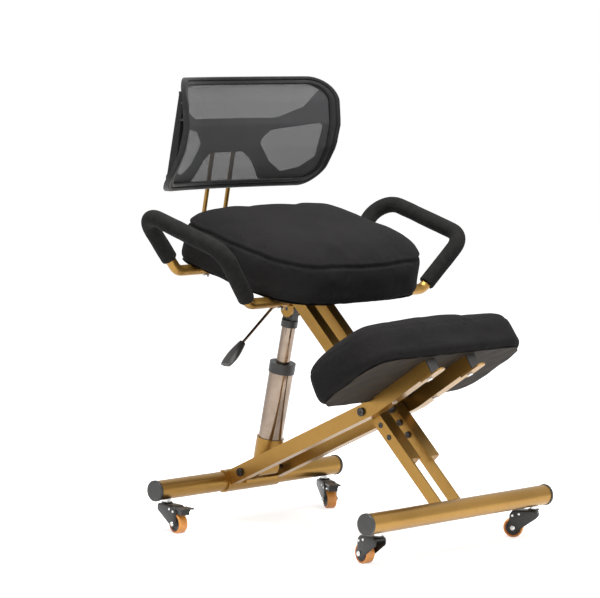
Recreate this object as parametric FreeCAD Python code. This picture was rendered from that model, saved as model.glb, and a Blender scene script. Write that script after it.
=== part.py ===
import FreeCAD, Part
import math
import os

# Kneeling chair with a gas lift, a mesh back, two grab handles and four castors.
# Millimetres. The sitter faces -Y, +Z is up, and +X is at the sitter's left hand.
# The pieces are drawn about a point on the floor midway between the two cross tubes,
# and are moved to the origin, the middle of the whole chair's footprint, as they are written.

V = FreeCAD.Vector
X_AXIS = V(1, 0, 0)
Z_AXIS = V(0, 0, 1)

ORIGIN_BACK = 44.8          # the chair's middle lies this far behind the middle of its wheelbase
FLOOR_Z = 1.6               # the floor lies this far above the level that heights are given from
PITCH = -0.84               # degrees that the drawn chair is turned about X to stand level

# Cross tubes
TUBE_R = 20.0
TUBE_WALL = 2.0
TUBE_LEN = 520.0
FRONT_TUBE_Y, FRONT_TUBE_Z = -285.0, 80.0
REAR_TUBE_Y, REAR_TUBE_Z = 285.0, 89.0
CAP_R = 21.3
CAP_FLANGE = 6.5
CAP_PLUG = 14.0

# Fold pivot, where the knee rails cross the seat struts
FOLD_Y, FOLD_Z = -98.5, 260.5
BOLT_R = 5.0
BOLT_HEAD_R = 8.5
BOLT_HEAD_H = 4.0
RUN = 0.05                  # radial play of a turning fit
GAP = 0.3                   # play between moving faces that don't fit one another

# Knee rails
RAIL_X = 59.0
RAIL_W = 25.0
RAIL_H = 30.0
RAIL_WALL = 2.0
RAIL_BEND_Y, RAIL_BEND_Z = -129.0, 273.3
RAIL_BEND_R = 150.0
RAIL_FRONT_Y, RAIL_FRONT_Z = -270.5, 361.4
PLUG_LEN = 12.0
TAB_LEN = 24.0
TAB_T = 3.0
SADDLE_T = 3.0
SADDLE_HALF = 76.0

# Seat struts and front legs
STRUT_X = 28.0
STRUT_SIDE = 25.0
STRUT_WALL = 2.0
STRUT_TOP_S = 383.0         # along the strut, upward from the fold pivot
STRUT_LOW_S = -134.0
STRUT_ANGLE = 45.0
LEG_T = 5.0
LEG_TOP_S = -17.0
LEG_BOLT_S = (-37.5, -68.5)
LEG_BOLT_R = 4.0
SPACER_R = 11.0

# Gas lift: its lower pin sits between the rails, its upper pin under the seat
LIFT_LOW_Y, LIFT_LOW_Z = 235.0, 112.0
LIFT_TOP_Y, LIFT_TOP_Z = 157.0, 445.0
LIFT_TUBE_R = 25.0
LIFT_PISTON_R = 14.0
LIFT_SOCKET_R = 28.0
LIFT_CUP_R = 16.8
SOCKET_FROM, SOCKET_TO = 16.0, 68.0
TUBE_FROM, TUBE_TO = 22.0, 222.0
COLLAR_FROM, COLLAR_TO = 207.0, 228.0
COLLAR_R = 26.6
PISTON_FROM = 96.0
CUP_FROM, CUP_TO = 304.0, 318.0
LUG_HALF = 9.0
LUG_R = 13.0
TOP_PIN_R = 4.0
TOP_PIN_PLAY = 1.6          # the coupled motion leaves the true linkage by less than this
BRACKET_T = 3.0

# Seat
SEAT_TILT = 15.0
SEAT_Y, SEAT_Z = 128.0, 513.4
SEAT_HALF_W, SEAT_FRONT, SEAT_REAR = 219.0, 180.0, 172.0
SEAT_BOX = 80.0
BOARD_T = 12.0
BOARD_INSET = 14.0
CLOTH_T = 1.2
CLOTH_INSET = 7.0
PLATE_T = 3.0
PLATE_HALF_W = 75.0
PLATE_FRONT, PLATE_REAR = -40.0, 110.0

# Knee pad, on top of the front ends of the rails
KNEE_TILT = -31.9
KNEE_HALF_W, KNEE_FRONT, KNEE_REAR = 232.0, 107.0, 107.0
KNEE_BOX = 72.0
KNEE_FROM_RAIL_END = 80.0   # from the rail's front end back to the pad's middle

# Grab handles
HANDLE_R = 11.0
HANDLE_WALL = 1.5
GRIP_R = 16.5
HANDLE_BEND_R = 26.0
HANDLE_CORNER_FRONT_R, HANDLE_CORNER_REAR_R = 34.0, 47.0
HANDLE_IN_X = 150.0
HANDLE_LOW_FRONT = (252.0, 30.0)
HANDLE_LOW_REAR = (246.0, 235.0)
HANDLE_TOP_FRONT = (348.2, 0.0, 580.5)
HANDLE_TOP_REAR = (349.8, 230.0, 655.0)
GRIP_START_FRONT, GRIP_START_REAR = 14.0, 33.0

# Back rest
BACK_HALF_W = 221.0
BACK_LOW, BACK_HIGH = 683.0, 911.0
BACK_RIM = 17.0
BACK_TOP_R, BACK_LOW_R = 52.0, 40.0
# height, place of the middle of the surface, and how far its sides reach forward
BACK_SECTIONS = ((650.0, 358.0, 22.0), (690.0, 342.0, 46.0), (725.0, 332.0, 68.0),
                 (765.0, 325.0, 87.0), (812.0, 320.0, 95.0), (860.0, 323.0, 95.0),
                 (904.0, 329.0, 92.0), (940.0, 335.0, 90.0))
BACK_SIDE_W = 256.0
RIM_FRONT, RIM_BACK = -2.0, 15.0
MESH_FRONT, MESH_BACK = 4.0, 5.5
CARRIER_FRONT, CARRIER_BACK = 15.3, 21.0
ROD_X = 30.0
ROD_R = 4.5
ROD_LEAN = 12.0
ROD_AT_Y, ROD_AT_Z = 376.0, 640.0
ROD_TOP_Z = 806.0
ROD_BEND_R = 50.0
ROD_START_Y = 190.0
BLOCK_LOW, BLOCK_HIGH = 757.0, 822.0
BLOCK_HALF_W = 46.0

# Height lever
LEVER_R = 3.0
LEVER_PIN_R = 2.0
LEVER_BARREL_R = 5.0
LEVER_PIVOT = (-23.0, 152.0, 458.0)
LEVER_KNEE = (-60.0, 154.0, 450.0)
LEVER_GRIP = (-152.0, 149.0, 385.0)
LEVER_END = (-193.0, 149.0, 350.0)

# Castors
WHEEL_R = 20.0
WHEEL_W = 20.0
HUB_R = 14.0
AXLE_R = 3.0
TRAIL = 40.0
LEAD_FRONT, LEAD_REAR = 9.0, 16.0
STEM_X = 230.0
STEM_R = 5.0
CHEEK_IN = 11.5
CHEEK_T = 2.5
FORK_PLATE = 3.0
FORK_TOP = 56.0
# name, side of the chair, cross tube (y, height), heading of the trailing wheel
CASTORS = (
    ("rear_right", -1, REAR_TUBE_Y, REAR_TUBE_Z, -100.0),
    ("rear_left", 1, REAR_TUBE_Y, REAR_TUBE_Z, -120.0),
    ("front_right", -1, FRONT_TUBE_Y, FRONT_TUBE_Z, 80.0),
    ("front_left", 1, FRONT_TUBE_Y, FRONT_TUBE_Z, 121.0),
)

# From the drawing to the floor, and back
LEVEL = FreeCAD.Placement(V(0, -ORIGIN_BACK, -FLOOR_Z), FreeCAD.Rotation(X_AXIS, PITCH))
UNLEVEL = LEVEL.inverse()

nodes = {}


def put(name, *solids):
    """Keep the solids of one node."""
    nodes[name] = solids[0] if len(solids) == 1 else Part.makeCompound(list(solids))


def box(x0, x1, y0, y1, z0, z1):
    return Part.makeBox(x1 - x0, y1 - y0, z1 - z0, V(x0, y0, z0))


def rod(a, b, r, bore=0.0):
    """A round bar from a to b, or a tube when it has a bore."""
    a, b = V(*a), V(*b)
    bar = Part.makeCylinder(r, (b - a).Length, a, b - a)
    if bore:
        bar = bar.cut(Part.makeCylinder(bore, (b - a).Length, a, b - a))
    return bar


def x_rod(x0, x1, y, z, r, bore=0.0):
    return rod((x0, y, z), (x1, y, z), r, bore)


def fused(*solids):
    return solids[0].multiFuse(list(solids[1:])).removeSplitter()


def mirrored(shape):
    return shape.mirror(V(0, 0, 0), X_AXIS)


def beam(x, width, height, points, bend_r=0.0):
    """A straight or once-bent bar of rectangular section; points are (y, z) on its middle line."""
    def offset(side):
        lines = []
        for a, b in zip(points, points[1:]):
            a3, b3 = V(0, *a), V(0, *b)
            along = (b3 - a3).normalize()
            across = X_AXIS.cross(along) * side
            lines.append((a3 + across, b3 + across, along))
        if len(lines) == 1:
            return [lines[0][0], lines[0][1]], None
        (a, b, u), (c, d, w) = lines
        t = ((c - a).cross(w)).dot(X_AXIS) / (u.cross(w)).dot(X_AXIS)
        return [a, a + u * t, d], (u, w)

    def side_edges(side):
        pts, dirs = offset(side)
        if dirs is None:
            return [Part.makeLine(*pts)], pts[0], pts[-1]
        a, corner, d = pts
        u, w = dirs
        turn = u.getAngle(w)
        sign = 1 if u.cross(w).dot(X_AXIS) > 0 else -1
        r = bend_r - sign * side
        cut = r * math.tan(turn / 2)
        p, q = corner - u * cut, corner + w * cut
        middle = (w - u).normalize() * (r / math.cos(turn / 2) - r)
        edges = [Part.makeLine(a, p), Part.Arc(p, corner + middle, q).toShape(), Part.makeLine(q, d)]
        return edges, a, d

    top, t0, t1 = side_edges(height / 2)
    low, l0, l1 = side_edges(-height / 2)
    wire = Part.Wire(top + [Part.makeLine(t1, l1)] + low[::-1] + [Part.makeLine(l0, t0)])
    return Part.Face(wire).extrude(V(width, 0, 0)).translated(V(x - width / 2, 0, 0))


def box_tube(x, width, height, wall, points, bend_r=0.0):
    outer = beam(x, width, height, points, bend_r)
    return outer.cut(beam(x, width - 2 * wall, height - 2 * wall, points, bend_r))


def bent_path(points, radii):
    """Straight runs joined by arcs; radii belong to the inner points."""
    pts = [V(*p) for p in points]
    edges = []
    start = pts[0]
    for i, r in enumerate(radii):
        corner = pts[i + 1]
        u = (corner - pts[i]).normalize()
        w = (pts[i + 2] - corner).normalize()
        turn = u.getAngle(w)
        cut = r * math.tan(turn / 2)
        p, q = corner - u * cut, corner + w * cut
        middle = corner + (w - u).normalize() * (r / math.cos(turn / 2) - r)
        edges.append(Part.makeLine(start, p))
        edges.append(Part.Arc(p, middle, q).toShape())
        start = q
    edges.append(Part.makeLine(start, pts[-1]))
    return Part.Wire(edges)


def pipe(points, radii, r, bore=0.0):
    path = bent_path(points, radii)
    start = V(*points[0])
    along = V(*points[1]) - start
    solid = path.makePipeShell([Part.Wire(Part.makeCircle(r, start, along))], True, False)
    if bore:
        solid = solid.cut(path.makePipeShell([Part.Wire(Part.makeCircle(bore, start, along))], True, False))
    return solid


def tilted(tilt, y, z):
    """The placement of a pad: its own x, y and z are the chair's X, the pad's depth and its normal."""
    return FreeCAD.Placement(V(0, y, z), FreeCAD.Rotation(X_AXIS, tilt))


def pad_outline(half_w, front, rear, r_front, r_rear, bow_front, bow_rear, bow_side, w):
    """A closed outline with round corners and bowed edges, at height w over the pad's base."""
    k = math.sqrt(0.5)

    def corner(sx, y_edge, r, sy):
        cx, cy = sx * (half_w - r), y_edge - sy * r
        side = V(sx * half_w, cy, w)
        mid = V(cx + sx * r * k, cy + sy * r * k, w)
        end = V(cx, y_edge, w)
        return side, mid, end

    right_f = corner(1, -front, r_front, -1)
    left_f = corner(-1, -front, r_front, -1)
    right_b = corner(1, rear, r_rear, 1)
    left_b = corner(-1, rear, r_rear, 1)
    mid_y = (right_b[0].y + right_f[0].y) / 2
    arcs = [
        Part.Arc(right_b[0], V(half_w + bow_side, mid_y, w), right_f[0]),
        Part.Arc(*right_f),
        Part.Arc(right_f[2], V(0, -front - bow_front, w), left_f[2]),
        Part.Arc(left_f[2], left_f[1], left_f[0]),
        Part.Arc(left_f[0], V(-half_w - bow_side, mid_y, w), left_b[0]),
        Part.Arc(*left_b),
        Part.Arc(left_b[2], V(0, rear + bow_rear, w), right_b[2]),
        Part.Arc(right_b[2], right_b[1], right_b[0]),
    ]
    return Part.Wire([a.toShape() for a in arcs])


def pad(sections, place, half_w, front, rear, r_front, r_rear, bow_front, bow_rear, bow_side):
    """A stuffed pad, lofted through outlines; each section is (height, how far it is drawn in)."""
    wires = []
    for w, inset in sections:
        wires.append(pad_outline(half_w - inset, front - inset, rear - inset,
                                 max(r_front - inset, 18.0), max(r_rear - inset, 18.0),
                                 bow_front, bow_rear, bow_side, w))
    solid = Part.makeLoft(wires, True, True)
    solid.Placement = place
    return solid


def slab(place, w0, w1, outline_args, inset):
    half_w, front, rear, r_front, r_rear, bow_front, bow_rear, bow_side = outline_args
    wire = pad_outline(half_w - inset, front - inset, rear - inset, r_front - inset,
                       r_rear - inset, bow_front, bow_rear, bow_side, w0)
    solid = Part.Face(wire).extrude(V(0, 0, w1 - w0))
    solid.Placement = place
    return solid


def upholstery(name, place, args, sections):
    """Cushion, board and underside cloth of one pad."""
    cloth = slab(place, 0, CLOTH_T, args, CLOTH_INSET)
    board = slab(place, CLOTH_T, CLOTH_T + BOARD_T, args, BOARD_INSET)
    cushion = pad(sections, place, *args).cut(cloth).cut(board)
    put(name + "_cushion", cushion)
    put(name + "_board", board)
    return cloth


def screw(at, down, r, length, head_r, head_h):
    """A round-headed screw; at is under its head, and down is the way that its head points."""
    a = V(*at)
    d = V(*down).normalize()
    shank = Part.makeCylinder(r, length, a, d * -1)
    head = Part.makeCylinder(head_r, head_h, a, d)
    return shank.fuse(head)


# Cross tubes and their end caps

def cross_tube(y, z):
    return x_rod(-TUBE_LEN / 2, TUBE_LEN / 2, y, z, TUBE_R, TUBE_R - TUBE_WALL)


def tube_cap(side, y, z):
    end = side * TUBE_LEN / 2
    lip = x_rod(end, end + side * CAP_FLANGE, y, z, CAP_R)
    rim = [e for e in lip.Edges if abs(e.BoundBox.XMin - (end + side * CAP_FLANGE)) < 0.01
           and e.BoundBox.XLength < 0.01]
    lip = lip.makeFillet(2.5, rim)
    return lip.fuse(x_rod(end, end - side * CAP_PLUG, y, z, TUBE_R - TUBE_WALL, TUBE_R - 2 * TUBE_WALL))


put("front_cross_tube", cross_tube(FRONT_TUBE_Y, FRONT_TUBE_Z))
put("rear_cross_tube", cross_tube(REAR_TUBE_Y, REAR_TUBE_Z))
put("front_tube_caps", *[tube_cap(s, FRONT_TUBE_Y, FRONT_TUBE_Z) for s in (-1, 1)])
put("rear_tube_caps", *[tube_cap(s, REAR_TUBE_Y, REAR_TUBE_Z) for s in (-1, 1)])

# Knee rails, from the rear tube up to the knee pad

rail_slope = math.atan2(RAIL_BEND_Z - LIFT_LOW_Z, RAIL_BEND_Y - LIFT_LOW_Y)
rail_low = (REAR_TUBE_Y, RAIL_BEND_Z + (REAR_TUBE_Y - RAIL_BEND_Y) * math.tan(rail_slope))
rail_line = [rail_low, (RAIL_BEND_Y, RAIL_BEND_Z), (RAIL_FRONT_Y, RAIL_FRONT_Z)]
rail_along = V(0, RAIL_FRONT_Y - RAIL_BEND_Y, RAIL_FRONT_Z - RAIL_BEND_Z).normalize()
rail_up = V(0, -rail_along.z, rail_along.y) * -1
saddle_full = x_rod(-SADDLE_HALF, SADDLE_HALF, REAR_TUBE_Y, REAR_TUBE_Z, TUBE_R + SADDLE_T)


def knee_rail(side):
    rail = box_tube(side * RAIL_X, RAIL_W, RAIL_H, RAIL_WALL, rail_line, RAIL_BEND_R)
    rail = rail.cut(saddle_full)
    for y, z in ((FOLD_Y, FOLD_Z), (LIFT_LOW_Y, LIFT_LOW_Z)):
        rail = rail.cut(x_rod(side * RAIL_X - RAIL_W, side * RAIL_X + RAIL_W, y, z, BOLT_R))
    for at in knee_screw_points(side):
        rail = rail.cut(Part.makeCylinder(KNEE_SCREW_R, RAIL_H + 2, at - rail_up, rail_up))
    return rail


KNEE_SCREW_R = 3.0
KNEE_SCREW_BACK = (18.0, 123.0)


def knee_screw_points(side):
    """Where the pad's screws enter the rail's lower face, measured back from the rail's front end."""
    end = V(side * RAIL_X, RAIL_FRONT_Y, RAIL_FRONT_Z) - rail_up * (RAIL_H / 2)
    return [end - rail_along * back for back in KNEE_SCREW_BACK]


put("knee_rail_right", knee_rail(-1))
put("knee_rail_left", knee_rail(1))

# The saddle is a half sleeve on the rear tube that the rails are welded to
saddle = saddle_full.cut(x_rod(-SADDLE_HALF, SADDLE_HALF, REAR_TUBE_Y, REAR_TUBE_Z, TUBE_R))
saddle = saddle.cut(box(-SADDLE_HALF, SADDLE_HALF, REAR_TUBE_Y + 4, REAR_TUBE_Y + 40, 0, 200))
web_y = REAR_TUBE_Y - TUBE_R - 12
web = box(-RAIL_X + RAIL_W / 2, RAIL_X - RAIL_W / 2, web_y - 10, REAR_TUBE_Y - 6, REAR_TUBE_Z - 3, REAR_TUBE_Z + 3)
web = web.cut(x_rod(-SADDLE_HALF, SADDLE_HALF, REAR_TUBE_Y, REAR_TUBE_Z, TUBE_R + SADDLE_T / 2))
for sx in (-1, 1):
    web = web.cut(box(sx * 24 - 13, sx * 24 + 13, web_y - 4, web_y + 5, 0, 200))
put("rail_saddle", fused(saddle, web))


def rail_plug(side):
    end = V(side * RAIL_X, RAIL_FRONT_Y, RAIL_FRONT_Z)
    inner = end - rail_along * PLUG_LEN
    outer = end + rail_along * 2.5
    body = beam(side * RAIL_X, RAIL_W - 2 * RAIL_WALL, RAIL_H - 2 * RAIL_WALL,
                [(inner.y, inner.z), (end.y, end.z)])
    lip = beam(side * RAIL_X, RAIL_W, RAIL_H, [(end.y, end.z), (outer.y, outer.z)])
    return body.fuse(lip)


def rail_tab(side):
    """A rounded tongue under the rail's front end that carries the pad's front screw."""
    low = V(side * RAIL_X, RAIL_FRONT_Y, RAIL_FRONT_Z) - rail_up * (RAIL_H / 2 + TAB_T / 2)
    a, b = low - rail_along * 34, low + rail_along * (TAB_LEN - RAIL_W / 2)
    plate = beam(side * RAIL_X, RAIL_W - 3, TAB_T, [(a.y, a.z), (b.y, b.z)])
    nose = Part.makeCylinder((RAIL_W - 3) / 2, TAB_T, b - rail_up * (TAB_T / 2), rail_up)
    tab = fused(plate, nose)
    for at in knee_screw_points(side):
        tab = tab.cut(Part.makeCylinder(KNEE_SCREW_R, 10, at - rail_up * 6, rail_up))
    return tab


put("rail_end_plugs", rail_plug(-1), rail_plug(1))
put("rail_front_tabs", rail_tab(-1), rail_tab(1))

# Seat struts, which cross between the rails, and the front legs bolted to them

sa = math.radians(STRUT_ANGLE)
strut_along = V(0, math.cos(sa), math.sin(sa))
fold = V(0, FOLD_Y, FOLD_Z)
seat_place = tilted(SEAT_TILT, SEAT_Y, SEAT_Z)
seat_normal = seat_place.Rotation.multVec(Z_AXIS)


def on_strut(s, x=0.0):
    p = fold + strut_along * s
    return V(x, p.y, p.z)


def seat_block(depth):
    """Everything above the seat's underside, lowered by depth."""
    block = Part.makeBox(800, 800, 400, V(-400, -400, -depth))
    block.Placement = seat_place
    return block


def strut(side):
    a, b = on_strut(STRUT_LOW_S), on_strut(STRUT_TOP_S + 40)
    tube = box_tube(side * STRUT_X, STRUT_SIDE, STRUT_SIDE, STRUT_WALL, [(a.y, a.z), (b.y, b.z)])
    end = on_strut(STRUT_LOW_S + STRUT_WALL)
    tube = tube.fuse(beam(side * STRUT_X, STRUT_SIDE, STRUT_SIDE, [(a.y, a.z), (end.y, end.z)]))
    tube = tube.cut(seat_block(PLATE_T))
    bush = BOLT_R + RUN
    tube = tube.cut(x_rod(side * STRUT_X - 20, side * STRUT_X + 20, FOLD_Y, FOLD_Z, bush))
    for s in LEG_BOLT_S:
        p = on_strut(s)
        tube = tube.cut(x_rod(side * STRUT_X - 20, side * STRUT_X + 20, p.y, p.z, LEG_BOLT_R))
    return tube


def leg(side):
    """A flat bar on the right face of its strut, down to the front cross tube."""
    x = side * STRUT_X - STRUT_SIDE / 2 - LEG_T / 2
    a = on_strut(LEG_TOP_S)
    b = on_strut(-262.0)
    bar = beam(x, LEG_T, STRUT_SIDE, [(a.y, a.z), (b.y, b.z)])
    bar = bar.cut(x_rod(-200, 200, FRONT_TUBE_Y, FRONT_TUBE_Z, TUBE_R))
    for s in LEG_BOLT_S:
        p = on_strut(s)
        bar = bar.cut(x_rod(x - 5, x + 5, p.y, p.z, LEG_BOLT_R))
    return max(bar.Solids, key=lambda solid: solid.Volume)


def leg_bolts(side):
    out = side * STRUT_X - STRUT_SIDE / 2 - LEG_T
    back = side * STRUT_X + STRUT_SIDE / 2
    bolts = []
    for s in LEG_BOLT_S:
        p = on_strut(s)
        # a button head that is low enough to pass the rail beside it
        head = x_rod(out - 0.8, out, p.y, p.z, LEG_BOLT_R + 1.5) if side < 0 else \
            x_rod(out - 3, out, p.y, p.z, LEG_BOLT_R + 2.5)
        nut = x_rod(back, back + 3.0, p.y, p.z, LEG_BOLT_R + 2.5)
        bolts.append(fused(head, x_rod(out, back, p.y, p.z, LEG_BOLT_R), nut))
    return bolts


for side, hand in ((-1, "right"), (1, "left")):
    put("strut_" + hand, strut(side))
    put("leg_" + hand, leg(side))
put("leg_bolts", *(leg_bolts(-1) + leg_bolts(1)))

# Pins between the two frames


def pivot_bolt(y, z):
    out = RAIL_X + RAIL_W / 2
    shank = x_rod(-out, out, y, z, BOLT_R)
    head = x_rod(-out - BOLT_HEAD_H, -out, y, z, BOLT_HEAD_R)
    nut = x_rod(out, out + BOLT_HEAD_H, y, z, BOLT_HEAD_R)
    return fused(head, shank, nut)


put("pivot_bolts", pivot_bolt(FOLD_Y, FOLD_Z), pivot_bolt(LIFT_LOW_Y, LIFT_LOW_Z))
rail_in = RAIL_X - RAIL_W / 2
strut_out = STRUT_X + STRUT_SIDE / 2
strut_in = STRUT_X - STRUT_SIDE / 2
put("fold_spacers",
    x_rod(-rail_in, -strut_out - GAP, FOLD_Y, FOLD_Z, SPACER_R, BOLT_R),
    x_rod(strut_out + GAP, rail_in, FOLD_Y, FOLD_Z, SPACER_R, BOLT_R),
    x_rod(-strut_in + GAP, strut_in - GAP, FOLD_Y, FOLD_Z, SPACER_R, BOLT_R))

# Gas lift

lift_low = V(0, LIFT_LOW_Y, LIFT_LOW_Z)
lift_top = V(0, LIFT_TOP_Y, LIFT_TOP_Z)
lift_along = (lift_top - lift_low).normalize()
lift_len = (lift_top - lift_low).Length


def on_lift(s, x=0.0):
    p = lift_low + lift_along * s
    return V(x, p.y, p.z)


def lift_tube(s0, s1, r, bore=0.0):
    return rod(on_lift(s0), on_lift(s1), r, bore)


def lift_lug(centre, towards, half, hole):
    """A flat eye round a pin, joined to the round body beside it."""
    p = on_lift(centre)
    eye = x_rod(-half, half, p.y, p.z, LUG_R)
    q = on_lift(towards)
    neck = beam(0, 2 * half, 2 * LUG_R, [(p.y, p.z), (q.y, q.z)])
    return fused(eye, neck), x_rod(-half - 1, half + 1, p.y, p.z, hole)


lug, hole = lift_lug(0, SOCKET_FROM + 4, rail_in - 20, BOLT_R + RUN)
put("lift_socket", fused(lift_tube(SOCKET_FROM, SOCKET_TO, LIFT_SOCKET_R), lug)
    .cut(lift_tube(TUBE_FROM, SOCKET_TO, LIFT_TUBE_R)).cut(hole))
put("lift_tube", lift_tube(TUBE_FROM, TUBE_TO, LIFT_TUBE_R, LIFT_TUBE_R - 2)
    .fuse(lift_tube(TUBE_FROM, TUBE_FROM + 4, LIFT_TUBE_R)))
put("lift_collar", lift_tube(COLLAR_FROM, COLLAR_TO, COLLAR_R, LIFT_PISTON_R + RUN)
    .cut(lift_tube(COLLAR_FROM - 1, TUBE_TO, LIFT_TUBE_R, LIFT_TUBE_R - 2))
    .cut(lift_tube(COLLAR_FROM - 1, TUBE_TO - 12, LIFT_TUBE_R - 2, LIFT_PISTON_R)))
put("lift_piston", lift_tube(PISTON_FROM, CUP_TO - 4, LIFT_PISTON_R))
lug, hole = lift_lug(lift_len, CUP_TO - 2, LUG_HALF, TOP_PIN_R + TOP_PIN_PLAY)
put("lift_cup", fused(lift_tube(CUP_FROM, CUP_TO, LIFT_CUP_R), lug)
    .cut(lift_tube(CUP_FROM, CUP_TO - 4, LIFT_PISTON_R)).cut(hole))

# Plate and bracket under the seat


def seat_part(solid):
    solid.Placement = seat_place.multiply(solid.Placement)
    return solid


put("seat_plate", seat_part(box(-PLATE_HALF_W, PLATE_HALF_W, PLATE_FRONT, PLATE_REAR, -PLATE_T, 0)))


def bracket_cheek(side):
    x0 = side * (strut_in - BRACKET_T)
    x1 = side * strut_in
    low_y, top_y = LIFT_TOP_Y, LIFT_TOP_Y + 8
    foot = x_rod(x0, x1, LIFT_TOP_Y, LIFT_TOP_Z, 17)
    p = [V(x0, low_y - 17, LIFT_TOP_Z), V(x0, low_y + 17, LIFT_TOP_Z),
         V(x0, top_y + 30, LIFT_TOP_Z + 90), V(x0, top_y - 34, LIFT_TOP_Z + 90)]
    wall = Part.Face(Part.makePolygon(p + p[:1])).extrude(V(x1 - x0, 0, 0))
    cheek = fused(foot, wall).cut(seat_block(PLATE_T))
    return cheek.cut(x_rod(x0 - side, x1 + side, LIFT_TOP_Y, LIFT_TOP_Z, TOP_PIN_R))


px, py, pz = LEVER_PIVOT
ears = []
for sy in (-1, 1):
    y0 = py + sy * 7.3
    ear = box(px - 6, -strut_in, min(y0, y0 + sy * 2.5), max(y0, y0 + sy * 2.5), pz - 7, pz + 7)
    ears.append(ear)
lever_pin = rod((px, py - 11.5, pz), (px, py + 11.5, pz), LEVER_PIN_R)
put("lift_bracket", fused(bracket_cheek(-1), *ears, lever_pin), bracket_cheek(1))
pin_out = strut_in
put("lift_top_pin", x_rod(-pin_out, pin_out, LIFT_TOP_Y, LIFT_TOP_Z, TOP_PIN_R))

# Height lever

barrel = rod((px, py - 7, pz), (px, py + 7, pz), LEVER_BARREL_R)
shaft = pipe([LEVER_PIVOT, LEVER_KNEE, LEVER_GRIP, LEVER_END], [18.0, 60.0], LEVER_R)
hole = rod((px, py - 8, pz), (px, py + 8, pz), LEVER_PIN_R + RUN)
put("lever_rod", fused(barrel, shaft).cut(hole))


def lever_paddle():
    """A flat drop-shaped grip, narrow where the rod enters it."""
    a, b = V(*LEVER_GRIP), V(*LEVER_END)
    along = (b - a).normalize()
    across = V(0, 1, 0)
    up = along.cross(across)
    wires = []
    for s, half, thick in ((-2.0, 7.0, 6.5), (12.0, 11.5, 7.5), (40.0, 17.0, 7.0), (60.0, 14.5, 4.5)):
        c = a + along * s
        k = math.sqrt(0.5)
        pts = [c + across * (half * math.cos(t)) + up * (thick * math.sin(t))
               for t in [math.radians(45 * i) for i in range(8)]]
        arcs = [Part.Arc(pts[i], pts[i + 1], pts[(i + 2) % 8]).toShape() for i in (0, 2, 4, 6)]
        wires.append(Part.Wire(arcs))
    return Part.makeLoft(wires, True, False)


put("lever_paddle", lever_paddle().cut(shaft))

# Seat cushion, board and cloth

seat_args = (SEAT_HALF_W, SEAT_FRONT, SEAT_REAR, 110.0, 70.0, 12.0, 8.0, 4.0)
seat_sections = ((0.0, 8.0), (12.0, 3.0), (36.0, 0.0), (66.0, 2.0), (SEAT_BOX, 5.0),
                 (92.0, 15.0), (105.0, 46.0), (113.0, 94.0))
put("seat_base_cloth", upholstery("seat", seat_place, seat_args, seat_sections))

# Knee cushion, board and cloth

knee_mid = V(0, RAIL_FRONT_Y, RAIL_FRONT_Z) + rail_up * (RAIL_H / 2) - rail_along * KNEE_FROM_RAIL_END
knee_place = tilted(KNEE_TILT, knee_mid.y, knee_mid.z)
knee_args = (KNEE_HALF_W, KNEE_FRONT, KNEE_REAR, 62.0, 62.0, 6.0, -10.0, 5.0)
knee_sections = ((0.0, 9.0), (12.0, 3.0), (36.0, 0.0), (60.0, 2.0), (KNEE_BOX, 6.0),
                 (82.0, 20.0), (90.0, 46.0), (94.0, 74.0))
put("knee_base_cloth", upholstery("knee", knee_place, knee_args, knee_sections))

put("knee_screws", *[screw(at, rail_up * -1, KNEE_SCREW_R, RAIL_H + CLOTH_T + BOARD_T - 2, 5.5, 2.6)
                     .translated(rail_up * (-TAB_T if back < 40 else 0))
                     for side in (-1, 1)
                     for at, back in zip(knee_screw_points(side), KNEE_SCREW_BACK)])

# Grab handles


def seat_under(x, y, depth):
    """The point under (x, y) that lies depth below the seat's underside."""
    t = math.radians(SEAT_TILT)
    z = SEAT_Z + (y - SEAT_Y) * math.tan(t) - depth / math.cos(t)
    return (x, y, z)


def handle_points(side):
    (fx, fy), (rx, ry) = HANDLE_LOW_FRONT, HANDLE_LOW_REAR
    tf, tr = HANDLE_TOP_FRONT, HANDLE_TOP_REAR
    points = [seat_under(HANDLE_IN_X, fy, HANDLE_R), seat_under(fx, fy, HANDLE_R), tf, tr,
              seat_under(rx, ry, HANDLE_R), seat_under(HANDLE_IN_X, ry, HANDLE_R)]
    return [(side * x, y, z) for x, y, z in points]


def along_arm(low, top, s):
    a, b = V(*low), V(*top)
    p = a + (b - a).normalize() * s
    return (p.x, p.y, p.z)


HANDLE_SCREW_X = 165.0


def handle_screws():
    solids = []
    for side in (-1, 1):
        for y in (HANDLE_LOW_FRONT[1], HANDLE_LOW_REAR[1]):
            at = seat_under(side * HANDLE_SCREW_X, y, 2 * HANDLE_R)
            solids.append(screw(at, seat_normal * -1, 3.0, 2 * HANDLE_R + 10, 7.0, 3.0))
    return solids


def plate_screws():
    solids = []
    for sx in (-1, 1):
        for y in (SEAT_Y - 28, SEAT_Y + 92):
            at = seat_under(sx * (PLATE_HALF_W - 12), y, PLATE_T)
            solids.append(screw(at, seat_normal * -1, 3.0, PLATE_T + 10, 7.0, 3.0))
    return solids


screws = handle_screws() + plate_screws()
for side, hand in ((-1, "right"), (1, "left")):
    pts = handle_points(side)
    radii = [HANDLE_BEND_R, HANDLE_CORNER_FRONT_R, HANDLE_CORNER_REAR_R, HANDLE_BEND_R]
    tube = pipe(pts, radii, HANDLE_R, HANDLE_R - HANDLE_WALL)
    grip_pts = [along_arm(pts[1], pts[2], GRIP_START_FRONT), pts[2], pts[3],
                along_arm(pts[4], pts[3], GRIP_START_REAR)]
    grip = pipe(grip_pts, radii[1:3], GRIP_R, HANDLE_R)
    for s in screws:
        tube = tube.cut(s)
    put("handle_" + hand, tube)
    put("grip_" + hand, grip)
put("seat_screws", *screws)
for name in ("seat_board", "seat_base_cloth", "seat_plate"):
    solid = nodes[name]
    for s in screws:
        solid = solid.cut(s)
    nodes[name] = solid
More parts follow.
